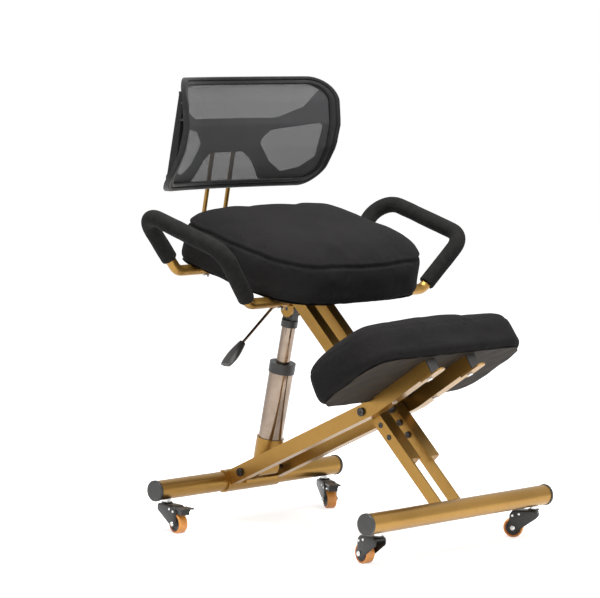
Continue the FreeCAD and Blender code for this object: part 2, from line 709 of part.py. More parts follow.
# the pad beds down on the rails, where they bend under its rear edge
for name in ("knee_cushion", "knee_board", "knee_base_cloth"):
    for other in ("knee_screws", "knee_rail_right", "knee_rail_left", "rail_end_plugs"):
        nodes[name] = nodes[name].cut(nodes[other])

# Rods that carry the back, and the clamp that holds them under the seat

lean = math.radians(ROD_LEAN)
rod_up = V(0, -math.sin(lean), math.cos(lean))
CLAMP_DEPTH = 9.0


def rod_points(x):
    t = math.tan(math.radians(SEAT_TILT))
    z0 = SEAT_Z - CLAMP_DEPTH / math.cos(math.radians(SEAT_TILT))
    # where the run under the seat meets the leaning upright run
    y_corner = (ROD_AT_Y - (z0 - SEAT_Y * t - ROD_AT_Z) * math.tan(lean)) / (1 + t * math.tan(lean))
    z_corner = z0 + (y_corner - SEAT_Y) * t
    top_y = ROD_AT_Y - (ROD_TOP_Z - ROD_AT_Z) * math.tan(lean)
    return [(x, ROD_START_Y, z0 + (ROD_START_Y - SEAT_Y) * t), (x, y_corner, z_corner),
            (x, top_y, ROD_TOP_Z)]


put("back_rods", *[pipe(rod_points(x), [ROD_BEND_R], ROD_R) for x in (-ROD_X, ROD_X)])
clamp = box(-ROD_X - 16, ROD_X + 16, PLATE_REAR + 4, PLATE_REAR + 44, -CLAMP_DEPTH - 8, 0)
clamp = seat_part(clamp)
put("rod_clamp", clamp.cut(nodes["back_rods"]))

# Back rest: a rim, its mesh and the butterfly-shaped carrier behind, all on one curved surface


def back_slab(front, back):
    """The back's curved surface given a thickness, from front to back behind it."""
    wires = []
    for z, middle, reach in BACK_SECTIONS:
        side_y = middle - reach * (BACK_SIDE_W / BACK_HALF_W) ** 2
        f = [V(-BACK_SIDE_W, side_y + front, z), V(0, middle + front, z), V(BACK_SIDE_W, side_y + front, z)]
        b = [V(-BACK_SIDE_W, side_y + back, z), V(0, middle + back, z), V(BACK_SIDE_W, side_y + back, z)]
        wires.append(Part.Wire([Part.Arc(*f).toShape(), Part.makeLine(f[2], b[2]),
                                Part.Arc(b[2], b[1], b[0]).toShape(), Part.makeLine(b[0], f[0])]))
    return Part.makeLoft(wires, True, False)


def back_prism(inset):
    """The back's outline, carried straight through from front to rear."""
    w, low, high = BACK_HALF_W - inset, BACK_LOW + inset, BACK_HIGH - inset
    rt, rl = BACK_TOP_R - inset / 2, BACK_LOW_R - inset / 2
    k = math.sqrt(0.5)

    def arc(cx, cz, r, sx, sz):
        return [V(cx + sx * r, 0, cz), V(cx + sx * r * k, 0, cz + sz * r * k), V(cx, 0, cz + sz * r)]

    tr = arc(w - rt, high - rt, rt, 1, 1)
    tl = arc(-w + rt, high - rt, rt, -1, 1)
    br = arc(w - rl, low + rl, rl, 1, -1)
    bl = arc(-w + rl, low + rl, rl, -1, -1)
    wire = Part.Wire([
        Part.makeLine(br[0], tr[0]), Part.Arc(*tr).toShape(), Part.makeLine(tr[2], tl[2]),
        Part.Arc(tl[2], tl[1], tl[0]).toShape(), Part.makeLine(tl[0], bl[0]), Part.Arc(*bl).toShape(),
        Part.makeLine(bl[2], br[2]), Part.Arc(br[2], br[1], br[0]).toShape()])
    return Part.Face(wire).extrude(V(0, 300, 0)).translated(V(0, 180, 0))


def prism_xz(points):
    p = [V(x, 180, z) for x, z in points]
    return Part.Face(Part.makePolygon(p + p[:1])).extrude(V(0, 300, 0))


outer, inner = back_prism(0), back_prism(BACK_RIM)
rim = back_slab(RIM_FRONT, RIM_BACK).common(outer.cut(inner))
mesh = back_slab(MESH_FRONT, MESH_BACK).common(inner)
put("back_frame", rim)
put("back_mesh", mesh)

# The carrier's four arms run from a block in the middle out to the rim
ARM_END_X = 222.0
upper_arm = [(BLOCK_HALF_W, 822), (120, 826), (170, 846), (205, 880), (ARM_END_X, 880), (ARM_END_X, 836),
             (150, 812), (BLOCK_HALF_W, 800)]
lower_arm = [(BLOCK_HALF_W, 790), (40, 764), (70, 740), (96, 702), (140, 690), (ARM_END_X - 30, 700),
             (ARM_END_X, 722), (ARM_END_X, 745), (180, 722), (140, 712), (112, 735), (80, 775), (100, 800),
             (ARM_END_X, 818), (ARM_END_X, 836), (150, 822), (BLOCK_HALF_W, 812)]
carrier_area = prism_xz([(-BLOCK_HALF_W - 8, BLOCK_LOW), (BLOCK_HALF_W + 8, BLOCK_LOW),
                         (BLOCK_HALF_W + 8, BLOCK_HIGH), (-BLOCK_HALF_W - 8, BLOCK_HIGH)])
for arm in (upper_arm, lower_arm):
    right = prism_xz(arm)
    carrier_area = carrier_area.fuse(right).fuse(mirrored(right))
carrier = back_slab(CARRIER_FRONT, CARRIER_BACK).common(carrier_area).common(back_prism(5))
mid_z = (BLOCK_LOW + BLOCK_HIGH) / 2
mid_y = ROD_AT_Y - (mid_z - ROD_AT_Z) * math.tan(lean)
block = box(-BLOCK_HALF_W, BLOCK_HALF_W, -8, 10, BLOCK_LOW - mid_z, BLOCK_HIGH - mid_z)
block.Placement = FreeCAD.Placement(V(0, mid_y, mid_z), FreeCAD.Rotation(X_AXIS, ROD_LEAN))
carrier = carrier.fuse(block).removeSplitter()
for x in (-ROD_X, ROD_X):
    pts = rod_points(x)
    top = V(*pts[2]) + rod_up * 60
    foot = V(*pts[2]) - rod_up * 120
    carrier = carrier.cut(rod((foot.x, foot.y, foot.z), (top.x, top.y, top.z), ROD_R + RUN))
put("back_carrier", max(carrier.Solids, key=lambda solid: solid.Volume))

BACK_SCREWS = ((212.0, 862.0), (212.0, 828.0), (212.0, 733.0))


def back_surface_y(x, z):
    """The surface's place at (x, z), between the two nearest sections."""
    for (z0, m0, r0), (z1, m1, r1) in zip(BACK_SECTIONS, BACK_SECTIONS[1:]):
        if z0 <= z <= z1:
            f = (z - z0) / (z1 - z0)
            middle, reach = m0 + (m1 - m0) * f, r0 + (r1 - r0) * f
            return middle - reach * (x / BACK_HALF_W) ** 2


heads = []
for sx in (-1, 1):
    for x, z in BACK_SCREWS:
        y = back_surface_y(x, z) + CARRIER_BACK
        heads.append(rod((sx * x, y - 14, z), (sx * x, y + 2.5, z), 3.5))
put("back_screws", *heads)
for name in ("back_frame", "back_carrier"):
    nodes[name] = nodes[name].cut(Part.makeCompound(heads))

# Castors


def castor_place(side, y, z, heading):
    """A castor stands upright on the floor, with its stem's axis through its cross tube's."""
    foot = V(side * STEM_X, LEVEL.multVec(V(0, y, z)).y, 0)
    return UNLEVEL.multiply(FreeCAD.Placement(foot, FreeCAD.Rotation(Z_AXIS, heading)))


def castor_stem(tube_z):
    """The fixed stem: its threads in the tube, its flange and washer either side of the fork's plate."""
    shank = rod((0, 0, FORK_TOP - FORK_PLATE - 3), (0, 0, tube_z - 5), STEM_R)
    washer = rod((0, 0, FORK_TOP + GAP), (0, 0, tube_z - TUBE_R + 2), STEM_R + 3)
    washer = washer.cut(x_rod(-40, 40, 0, tube_z, TUBE_R + 0.05))
    flange = rod((0, 0, FORK_TOP - FORK_PLATE - 3), (0, 0, FORK_TOP - FORK_PLATE - GAP), STEM_R + 3)
    return fused(shank, washer, flange)


def castor_fork(braked):
    """Two cheeks under one plate, with the axle bolt; +X is the way that the wheel trails."""
    z0, top = WHEEL_R, FORK_TOP
    lead = LEAD_REAR if braked else LEAD_FRONT
    lead_low = top - 18
    profile = [V(-lead, 0, top), V(-lead, 0, lead_low), V(TRAIL - 6.5, 0, z0 - 3), V(TRAIL, 0, z0 - 7),
               V(TRAIL + 6.5, 0, z0 - 3), V(TRAIL + 7.5, 0, z0 + 14), V(TRAIL + 7.5, 0, top)]
    face = Part.Face(Part.makePolygon(profile + profile[:1]))
    cheeks = []
    for s in (-1, 1):
        inner = CHEEK_IN if s > 0 else -CHEEK_IN - CHEEK_T
        cheeks.append(face.extrude(V(0, CHEEK_T, 0)).translated(V(0, inner, 0)))
    half = CHEEK_IN + CHEEK_T
    plate = box(-lead, TRAIL + 7.5, -half, half, top - FORK_PLATE, top)
    fork = fused(plate, *cheeks)
    fork = fork.cut(rod((0, 0, top - 10), (0, 0, top + 1), STEM_R + RUN))
    axle = fused(rod((TRAIL, -half, z0), (TRAIL, half, z0), AXLE_R),
                 rod((TRAIL, -half - 3, z0), (TRAIL, -half, z0), 5.0),
                 rod((TRAIL, half, z0), (TRAIL, half + 4, z0), 5.0))
    fork = fork.cut(rod((TRAIL, -half, z0), (TRAIL, half, z0), AXLE_R))
    solids = [fork, axle]
    if braked:
        bx, bz = BRAKE_PIVOT[0], top - BRAKE_PIVOT[1]
        pin = rod((bx, -half - 1.5, bz), (bx, half + 1.5, bz), 2.0)
        solids[0] = solids[0].cut(pin)
        solids.append(pin)
    return solids


BRAKE_PIVOT = (TRAIL + 2.0, 8.5)


def brake_pedal():
    """The pedal between the cheeks: a hub on the pin, a shoe over the tread and a toe plate."""
    top = FORK_TOP
    bx, bz = BRAKE_PIVOT[0], top - BRAKE_PIVOT[1]
    half = CHEEK_IN - 1.0
    hub = rod((bx, -half, bz), (bx, half, bz), 4.2)
    arm = box(bx, TRAIL + 27, -half, half, top - 9.5, top - 4.5)
    shoe = box(TRAIL + 12, TRAIL + 25, -half + 1, half - 1, 39.0, top - 5)
    toe = box(TRAIL + 9, TRAIL + 38, -half - 2, half + 2, top - 4.5, top - 2.0)
    shoe = shoe.cut(rod((TRAIL, -30, WHEEL_R), (TRAIL, 30, WHEEL_R), WHEEL_R + 2.5))
    pedal = fused(hub, arm, shoe, toe)
    return pedal.cut(rod((bx, -30, bz), (bx, 30, bz), 2.0 + RUN))


def castor_wheel():
    a, b = (TRAIL, -WHEEL_W / 2, WHEEL_R), (TRAIL, WHEEL_W / 2, WHEEL_R)
    tyre = rod(a, b, WHEEL_R)
    edges = [e for e in tyre.Edges if e.Curve.TypeId == "Part::GeomCircle"]
    tyre = tyre.makeFillet(3.5, edges).cut(rod(a, b, HUB_R))
    hub = rod(a, b, HUB_R, AXLE_R + RUN)
    for y0, y1 in ((-WHEEL_W / 2, -WHEEL_W / 2 + 2.0), (WHEEL_W / 2 - 2.0, WHEEL_W / 2)):
        hub = hub.cut(rod((TRAIL, y0, WHEEL_R), (TRAIL, y1, WHEEL_R), HUB_R - 2, 6.0))
    return tyre, hub


stems = {"front": [], "rear": []}
for name, side, y, tube_z, heading in CASTORS:
    at = castor_place(side, y, tube_z, heading)

    def placed(solid):
        moved = solid.copy()
        moved.Placement = at.multiply(moved.Placement)
        return moved

    braked = name.startswith("rear")
    stem = castor_stem(LEVEL.multVec(V(0, y, tube_z)).z)
    stem.Placement = castor_place(side, y, tube_z, 0.0)
    stems[name.split("_")[0]].append(stem)
    put("fork_" + name, *[placed(s) for s in castor_fork(braked)])
    tyre, hub = castor_wheel()
    put("tyre_" + name, placed(tyre))
    put("hub_" + name, placed(hub))
    if braked:
        put("brake_" + name, placed(brake_pedal()))
for end in ("front", "rear"):
    put(end + "_castor_stems", *stems[end])
    for stem in stems[end]:
        nodes[end + "_cross_tube"] = nodes[end + "_cross_tube"].cut(stem)

# Write every node, moved to the origin

os.makedirs("parts", exist_ok=True)
whole = FreeCAD.BoundBox()
for name, shape in sorted(nodes.items()):
    shape = shape.copy()
    shape.Placement = LEVEL.multiply(shape.Placement)
    whole.add(shape.BoundBox)
    shape.exportStep("parts/" + name + ".step")
    print("%-20s %2d solids  valid %s  volume %9.1f mm3" % (
        name, len(shape.Solids), shape.isValid(), shape.Volume))
print("nodes", len(nodes))
print("box", [round(v, 1) for v in (whole.XMin, whole.XMax, whole.YMin, whole.YMax, whole.ZMin, whole.ZMax)])
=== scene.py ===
import bpy
import math
from mathutils import Matrix, Vector, noise


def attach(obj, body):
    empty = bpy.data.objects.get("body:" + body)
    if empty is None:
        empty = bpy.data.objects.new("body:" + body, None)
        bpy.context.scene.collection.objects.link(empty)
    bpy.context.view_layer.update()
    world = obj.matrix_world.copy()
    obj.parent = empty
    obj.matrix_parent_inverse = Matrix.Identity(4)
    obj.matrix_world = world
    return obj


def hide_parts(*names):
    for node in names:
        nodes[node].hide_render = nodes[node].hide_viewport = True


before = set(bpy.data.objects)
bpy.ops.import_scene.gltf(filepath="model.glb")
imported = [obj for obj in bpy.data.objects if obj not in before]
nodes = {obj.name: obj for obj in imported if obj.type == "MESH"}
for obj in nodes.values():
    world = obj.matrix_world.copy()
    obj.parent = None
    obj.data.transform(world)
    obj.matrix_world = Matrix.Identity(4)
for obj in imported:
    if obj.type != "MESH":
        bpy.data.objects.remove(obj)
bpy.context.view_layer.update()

# The chair stands in a white studio on a plain pale floor, seen from in front of its right side,
# a little above the seat, through a long lens. The floor keeps the chair's shadow.


def clear():
    """Object mode with nothing selected."""
    if bpy.context.mode != "OBJECT":
        bpy.ops.object.mode_set(mode="OBJECT")
    bpy.ops.object.select_all(action="DESELECT")


clear()
bpy.ops.object.camera_add(location=(-4.3891, -4.0909, 1.0062),
                          rotation=[math.radians(a) for a in (84.8668, -0.3327, -46.3186)])
camera = bpy.context.object
camera.data.lens = 181.512
camera.data.sensor_width = 36.0
camera.data.clip_end = 200.0
bpy.context.scene.camera = camera
bpy.context.scene.view_settings.view_transform = "Standard"

clear()
bpy.ops.mesh.primitive_plane_add(size=90.0, location=(0, 0, 0))
floor = bpy.context.object
floor.name = "studio_floor"


class Wire:
    """An output of a finish's nodes. Sums, products and the like of wires add their Math nodes."""

    def __init__(self, tree, socket=None):
        self.tree, self.socket = tree, socket

    def node(self, kind, settings, sockets, out=0):
        made = self.tree.nodes.new(kind)
        for name, value in settings.items():
            if name == "stops":
                stops = made.color_ramp.elements
                stops.remove(stops[1])
                stops[0].position, stops[0].color = value[0]
                for place, colour in value[1:]:
                    stops.new(place).color = colour
            else:
                setattr(made, name, value)
        for name, value in sockets.items():
            if isinstance(value, Wire):
                self.tree.links.new(value.socket, made.inputs[name])
            else:
                made.inputs[name].default_value = value
        return Wire(self.tree, made.outputs[out])

    def maths(self, operation, *values):
        return self.node("ShaderNodeMath", {"operation": operation}, dict(enumerate(values)))

    def __add__(self, other):
        return self.maths("ADD", self, other)

    def __radd__(self, other):
        return self.maths("ADD", other, self)

    def __sub__(self, other):
        return self.maths("SUBTRACT", self, other)

    def __rsub__(self, other):
        return self.maths("SUBTRACT", other, self)

    def __mul__(self, other):
        return self.maths("MULTIPLY", self, other)

    def __rmul__(self, other):
        return self.maths("MULTIPLY", other, self)

    def __gt__(self, other):
        return self.maths("GREATER_THAN", self, other)

    def __lt__(self, other):
        return self.maths("LESS_THAN", self, other)

    def sine(self):
        return self.maths("SINE", self)

    def fraction(self):
        return self.maths("FRACT", self)

    def size(self):
        return self.maths("ABSOLUTE", self)

    def limited(self, low, high, to_low=0.0, to_high=1.0):
        """This value's range low to high spread over to_low to to_high, and held there."""
        return self.node("ShaderNodeMapRange", {"interpolation_type": "SMOOTHSTEP"},
                         {0: self, 1: low, 2: high, 3: to_low, 4: to_high})

    def between(self, first, second):
        """A colour from first to second as this value goes from 0 to 1."""
        return self.node("ShaderNodeMix", {"data_type": "RGBA"}, {0: self, 6: first, 7: second}, 2)

    def part(self, which):
        return self.node("ShaderNodeSeparateXYZ", {}, {0: self}, which)

    def grain(self, scale, detail=2.0, rough=0.5):
        """Cloudy noise read at this place, scale waves to the metre."""
        return self.node("ShaderNodeTexNoise", {},
                         {"Vector": self, "Scale": scale, "Detail": detail, "Roughness": rough})

    def cells(self, scale):
        return self.node("ShaderNodeTexVoronoi", {}, {"Vector": self, "Scale": scale})

    def bump(self, depth, strength=1.0):
        """A normal from this height; depth is what a height of 1 stands for, in metres."""
        return self.node("ShaderNodeBump", {}, {"Strength": strength, "Distance": depth, "Height": self})


def finish(name):
    """A new material, the wire of its place on the object, and its shader."""
    made = bpy.data.materials.new(name)
    made.use_nodes = True
    place = Wire(made.node_tree).node("ShaderNodeTexCoord", {}, {}, "Object")
    return made, place, made.node_tree.nodes["Principled BSDF"]


def lay(shader, sockets):
    for name, value in sockets.items():
        if isinstance(value, Wire):
            value.tree.links.new(value.socket, shader.inputs[name])
        else:
            shader.inputs[name].default_value = value


def backdrop_ray(wire):
    """1 for a ray that sees the backdrop itself: from the camera, off a mirror or through a gap."""
    seen, mirrored, passing = (wire.node("ShaderNodeLightPath", {}, {}, kind) for kind in
                               ("Is Camera Ray", "Is Glossy Ray", "Is Transmission Ray"))
    return (seen + mirrored + passing) > 0.5


floor_paint, place, shader = finish("pale_floor")
lay(shader, {"Base Color": (0.80, 0.80, 0.80, 1), "Roughness": 0.9, "Specular IOR Level": 0.0,
             "Emission Color": backdrop_ray(place).between((0, 0, 0, 1), (0.67, 0.67, 0.67, 1)),
             "Emission Strength": 1.0})
floor.data.materials.append(floor_paint)

world = bpy.data.worlds.new("studio")
bpy.context.scene.world = world
world.use_nodes = True
pale = backdrop_ray(Wire(world.node_tree))
lay(world.node_tree.nodes["Background"], {"Color": pale.between((0.42, 0.42, 0.42, 1), (1, 1, 1, 1)),
                                          "Strength": 1.0})

for name, spot, width, power in (("overhead", (-0.4, -0.6, 3.2), 2.4, 175.0),
                                 ("front_left", (-3.4, -1.2, 2.0), 1.8, 8.0),
                                 ("front_right", (0.6, -3.6, 1.6), 1.6, 11.0)):
    clear()
    bpy.ops.object.light_add(type="AREA", location=spot)
    lamp = bpy.context.object
    lamp.name = "lamp_" + name
    lamp.data.energy = power
    lamp.data.size = width
    lamp.rotation_euler = (Vector((0, 0, 0.4)) - Vector(spot)).to_track_quat("-Z", "Y").to_euler()

# Steel tubes, flats and plates of the frame: cut, bent and welded, then powder coated in a satin
# gold with a fine metal flake. The two cross tubes carry the castors.

gold_coat, place, shader = finish("gold_powder_coat")
flake = place.cells(2400.0).limited(0.0, 0.6)
drift = place.grain(9.0, 3.0).limited(0.3, 0.7)
peel = place.grain(420.0, 3.0)
dust = place.grain(60.0, 4.0, 0.65).limited(0.55, 0.8)
tone = drift.between((0.215, 0.110, 0.018, 1), (0.265, 0.140, 0.026, 1))
tone = (flake * 0.35).between(tone, (0.48, 0.28, 0.07, 1))
lay(shader, {"Base Color": (dust * 0.25).between(tone, (0.16, 0.085, 0.018, 1)), "Metallic": 0.88,
             "Roughness": 0.30 + drift * 0.08 + dust * 0.10,
             "Normal": (peel * 0.7 + flake * 0.3).bump(0.00012, 0.6),
             "Coat Weight": 0.14, "Coat Roughness": 0.22})


def paint(material, *names):
    for name in names:
        for slot in nodes[name].material_slots:
            slot.material = material


paint(gold_coat, "rear_cross_tube", "front_cross_tube", "knee_rail_right", "knee_rail_left", "rail_saddle",
      "strut_right", "strut_left", "leg_right", "leg_left", "rail_front_tabs", "lift_bracket", "seat_plate",
      "handle_right", "handle_left")

# Black moulded plugs: round caps on the ends of the cross tubes and square ones in the knee rails,
# pushed in. A fine spark-eroded grain, with a soft shine where hands and floors have rubbed it.

black_mould, place, shader = finish("black_moulded_plastic")
grit = place.grain(900.0, 2.0)
rub = place.grain(35.0, 4.0, 0.6).limited(0.45, 0.75)
lay(shader, {"Base Color": rub.between((0.022, 0.021, 0.020, 1), (0.036, 0.034, 0.032, 1)),
             "Roughness": 0.46 - rub * 0.12, "Normal": grit.bump(0.00010, 0.7)})
paint(black_mould, "rear_tube_caps", "front_tube_caps", "rail_end_plugs", "rod_clamp", "lever_paddle",
      "fold_spacers")

# Bolts and pins: turned steel, screwed in as the frame goes together. They are black oxide at the
# pivots, the legs and the back, and bright zinc under the pads and on the castor stems.

black_bolt, place, shader = finish("black_oxide_steel")
scuff = place.grain(240.0, 4.0, 0.6).limited(0.45, 0.8)
lay(shader, {"Base Color": scuff.between((0.030, 0.029, 0.028, 1), (0.16, 0.15, 0.14, 1)), "Metallic": 0.9,
             "Roughness": 0.34 + scuff * 0.15, "Normal": place.grain(700.0).bump(0.00006, 0.5)})
zinc, place, shader = finish("zinc_plated_steel")
cloud = place.grain(180.0, 3.0).limited(0.3, 0.7)
lay(shader, {"Base Color": cloud.between((0.52, 0.53, 0.54, 1), (0.66, 0.66, 0.64, 1)), "Metallic": 1.0,
             "Roughness": 0.24 + cloud * 0.14, "Normal": place.grain(900.0).bump(0.00004, 0.5)})
paint(black_bolt, "leg_bolts", "pivot_bolts", "lift_top_pin", "back_screws")
paint(zinc, "rear_castor_stems", "front_castor_stems", "seat_screws", "knee_screws")

# Gas lift: a chromed outer tube in a gold socket on the lower pin, with a black collar at its mouth
# and a thinner bright piston above.

chrome, place, shader = finish("chromed_steel")
# Painted reflection: the chrome's base colour is dark and brownish to stand for the dark brown surroundings
# it mirrors. The smear noise darkens that colour in patches and also roughens it.
smear_and_reflection = place.grain(26.0, 4.0, 0.6).limited(0.4, 0.75)
lay(shader, {"Base Color": smear_and_reflection.between((0.25, 0.195, 0.155, 1), (0.19, 0.145, 0.11, 1)), "Metallic": 1.0,
             "Roughness": 0.09 + smear_and_reflection * 0.10})
paint(chrome, "lift_tube", "lift_piston", "lever_rod")
paint(black_mould, "lift_collar", "lift_cup")
paint(gold_coat, "lift_socket")
paint(gold_coat, "back_rods")

# Castors: twin-cheeked pressed forks in black paint under a swivelling stem, with bright axle bolts
# and rivets, and orange polyurethane tyres moulded on dark cores. The rear two have brake pedals.

castor_paint, place, shader = finish("black_castor_paint")
chip = place.grain(150.0, 4.0, 0.6).limited(0.55, 0.8)
lay(shader, {"Base Color": chip.between((0.020, 0.019, 0.018, 1), (0.060, 0.056, 0.050, 1)),
             "Roughness": 0.36 + chip * 0.2, "Metallic": 0.3,
             "Normal": place.grain(380.0, 3.0).bump(0.00008, 0.6)})
tread, place, shader = finish("orange_polyurethane")
radius = place.node("ShaderNodeAttribute", {"attribute_name": "radius"}, {}, "Fac")
ring = radius.limited(0.0145, 0.0185)
scrape = place.grain(300.0, 4.0, 0.6).limited(0.5, 0.8)
amber = ring.between((0.30, 0.055, 0.008, 1), (0.86, 0.36, 0.075, 1))
lay(shader, {"Base Color": (scrape * 0.35).between(amber, (0.42, 0.24, 0.12, 1)),
             "Roughness": 0.26 + scrape * 0.3, "Subsurface Weight": 0.25,
             "Subsurface Radius": (0.006, 0.002, 0.0006), "Subsurface Scale": 1.0,
             "Normal": place.grain(500.0).bump(0.00008, 0.5)})
paint(castor_paint, *[n for n in nodes if n.startswith("brake_")])
WHEEL_TRAIL, AXLE_HEIGHT, ACROSS = 0.040, 0.020, (math.radians(90), 0, 0)


def rounded(corners, steps=5):
    """Points along a closed outline, its corners (x, y, radius) rounded off."""
    points = []
    for i, (x, y, r) in enumerate(corners):
        here = Vector((x, y))
        before = Vector(corners[i - 1][:2]) - here
        after = Vector(corners[(i + 1) % len(corners)][:2]) - here
        if r <= 0:
            points.append(here)
            continue
        half = before.angle(after) / 2
        reach = min(r / math.tan(half), before.length * 0.49, after.length * 0.49)
        r = reach * math.tan(half)
        a, b = here + before.normalized() * reach, here + after.normalized() * reach
        middle = here + (before.normalized() + after.normalized()).normalized() * (r / math.sin(half))
        for k in range(steps + 1):
            t = k / steps
            arm = (a - middle).lerp(b - middle, t)
            points.append(middle + arm.normalized() * r)
    return points


def plate(name, outline, stand=lambda x, y: (x, y, 0.0)):
    """A filled face with this outline, left in edit mode with all of it selected."""
    clear()
    bpy.ops.mesh.primitive_circle_add(vertices=len(outline), fill_type="NGON")
    made = bpy.context.object
    made.name = name
    for vertex, (x, y) in zip(made.data.vertices, outline):
        vertex.co = stand(x, y)
    bpy.ops.object.mode_set(mode="EDIT")
    bpy.ops.mesh.select_all(action="SELECT")
    return made


def keep(piece, *modifiers, angle=35):
    """Leaves edit mode, puts the modifiers on, and shades the piece."""
    clear()
    piece.select_set(True)
    bpy.context.view_layer.objects.active = piece
    for kind, settings in modifiers:
        made = piece.modifiers.new(kind.lower(), kind)
        for name, value in settings.items():
            setattr(made, name, value)
        bpy.ops.object.modifier_apply(modifier=made.name)
    bpy.ops.object.transform_apply(location=True, rotation=True, scale=True)
    bpy.ops.object.mode_set(mode="EDIT")
    bpy.ops.mesh.select_all(action="SELECT")
    bpy.ops.mesh.normals_make_consistent(inside=False)
    bpy.ops.object.mode_set(mode="OBJECT")
    bpy.ops.object.shade_smooth_by_angle(angle=math.radians(angle))
    return piece


def joined(name, first, *others):
    clear()
    for piece in (first, *others):
        piece.select_set(True)
    bpy.context.view_layer.objects.active = first
    bpy.ops.object.join()
    first.name = name
    return first


def coated(piece, material):
    piece.data.materials.clear()
    piece.data.materials.append(material)


def fork_shape(lead):
    """A pressed fork: domed over the wheel, with cheeks that narrow to the axle."""
    outline = rounded([(-lead, 0.0556, 0.006), (-lead, 0.041, 0.006), (0.026, 0.017, 0.009),
                       (0.040, 0.0105, 0.008), (0.0475, 0.019, 0.006), (0.0475, 0.046, 0.009),
                       (0.041, 0.0558, 0.010)])
    fork = plate("fork_shape", outline, lambda x, z: (x, -0.0140, z))
    bpy.ops.mesh.extrude_region_move(TRANSFORM_OT_translate={"value": (0, 0.0280, 0)})
    bpy.ops.object.mode_set(mode="OBJECT")
    keep(fork, ("BEVEL", {"width": 0.0032, "segments": 3, "limit_method": "ANGLE", "angle_limit": 1.0}))
    # it is solid so far: between the cheeks, all faces round the wheel's room come out but its roof
    bpy.ops.object.mode_set(mode="EDIT")
    bpy.ops.mesh.select_all(action="DESELECT")
    bpy.ops.object.mode_set(mode="OBJECT")
    for face in fork.data.polygons:
        under = face.center.z < 0.050 and abs(face.center.y) < 0.0112
        face.select = under and face.normal.z < 0.35
    bpy.ops.object.mode_set(mode="EDIT")
    bpy.ops.mesh.delete(type="FACE")
    bpy.ops.object.mode_set(mode="OBJECT")
    return keep(fork, ("SOLIDIFY", {"thickness": 0.0022, "offset": -1.0}))


def domed(spot, r, height):
    """A small rivet or bolt head that lies across the castor."""
    clear()
    bpy.ops.mesh.primitive_cylinder_add(vertices=20, radius=r, depth=height, location=spot, rotation=ACROSS)
    return keep(bpy.context.object,
                ("BEVEL", {"width": min(r, height) * 0.6, "segments": 3, "limit_method": "ANGLE"}))


def wheel_tread():
    clear()
    bpy.ops.mesh.primitive_cylinder_add(vertices=64, radius=0.020, depth=0.020, end_fill_type="NOTHING",
                                        location=(WHEEL_TRAIL, 0, AXLE_HEIGHT), rotation=ACROSS)
    return keep(bpy.context.object, ("SOLIDIFY", {"thickness": 0.0058, "offset": -1.0}),
                ("BEVEL", {"width": 0.0030, "segments": 4, "limit_method": "ANGLE"}), angle=60)


def wheel_core():
    clear()
    bpy.ops.mesh.primitive_cylinder_add(vertices=48, radius=0.0143, depth=0.0190,
                                        location=(WHEEL_TRAIL, 0, AXLE_HEIGHT), rotation=ACROSS)
    core = bpy.context.object
    bpy.ops.object.transform_apply(location=True, rotation=True, scale=True)
    bpy.ops.object.mode_set(mode="EDIT")
    bpy.ops.mesh.select_mode(type="FACE")
    bpy.ops.object.mode_set(mode="OBJECT")
    for face in core.data.polygons:
        face.select = abs(face.normal.y) > 0.9
    bpy.ops.object.mode_set(mode="EDIT")
    # a rim, a step down, the web, and a step up to the boss
    for width, depth in ((0.0022, 0.0), (0.0008, -0.0020), (0.0052, 0.0), (0.0008, 0.0018)):
        bpy.ops.mesh.inset(thickness=width, depth=depth, use_individual=True)
    bpy.ops.object.mode_set(mode="OBJECT")
    return keep(core, ("BEVEL", {"width": 0.0004, "segments": 2, "limit_method": "ANGLE"}))


for name, foot_x, foot_y, heading in (
        ("rear_right", -0.230, 0.2415, -100.0), ("rear_left", 0.230, 0.2415, -120.0),
        ("front_right", -0.230, -0.3286, 80.0), ("front_left", 0.230, -0.3286, 121.0)):
    turn = Matrix.Translation((foot_x, foot_y, 0)) @ Matrix.Rotation(math.radians(heading), 4, "Z")
    fork = fork_shape(0.016 if name.startswith("rear") else 0.009)
    fork.name = "pressed_fork_" + name
    # on each cheek the axle's head and tip, then two rivets
    heads = [domed((WHEEL_TRAIL + x, side * y, z), r, height) for side in (-1, 1) for x, y, z, r, height in
             ((0.0, 0.0156, AXLE_HEIGHT, 0.0050, 0.0034), (0.0, 0.0172, AXLE_HEIGHT, 0.0026, 0.0034),
              (0.001, 0.0143, 0.0445, 0.0026, 0.0022), (-0.012, 0.0143, 0.0480, 0.0026, 0.0022))]
    clear()
    bpy.ops.mesh.primitive_cylinder_add(vertices=20, radius=0.003, depth=0.030,
                                        location=(WHEEL_TRAIL, 0, AXLE_HEIGHT), rotation=ACROSS)
    pin = keep(bpy.context.object, ("BEVEL", {"width": 0.0005, "segments": 1, "limit_method": "ANGLE"}))
    clear()
    bpy.ops.mesh.primitive_cylinder_add(vertices=28, radius=0.0115, depth=0.0022, location=(0, 0, 0.0571))
    race = keep(bpy.context.object, ("BEVEL", {"width": 0.0008, "segments": 2, "limit_method": "ANGLE"}))
    bolts = joined("castor_bolts_" + name, pin, *heads)
    tyre, core = wheel_tread(), wheel_core()
    tyre.name, core.name = "tread_" + name, "wheel_core_" + name
    mark = tyre.data.attributes.new("radius", "FLOAT", "POINT")
    for vertex, value in zip(tyre.data.vertices, mark.data):
        value.value = math.hypot(vertex.co.x - WHEEL_TRAIL, vertex.co.z - AXLE_HEIGHT)
    race.name = "swivel_race_" + name
    for piece, coat in ((fork, castor_paint), (bolts, zinc), (tyre, tread), (core, black_mould),
                        (race, castor_paint)):
        piece.data.transform(turn)
        coated(piece, coat)
    for piece in (fork, bolts, race):
        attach(piece, "castor_" + name)
    for piece in (tyre, core):
        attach(piece, "wheel_" + name)
    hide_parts("fork_" + name)
    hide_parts("tyre_" + name)
    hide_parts("hub_" + name)

# Seat and knee pads: moulded foam on plywood, covered in charcoal woven polyester with one sewn seam
# where the top panel meets the side band. Each cover is pulled round the board and stapled under it.

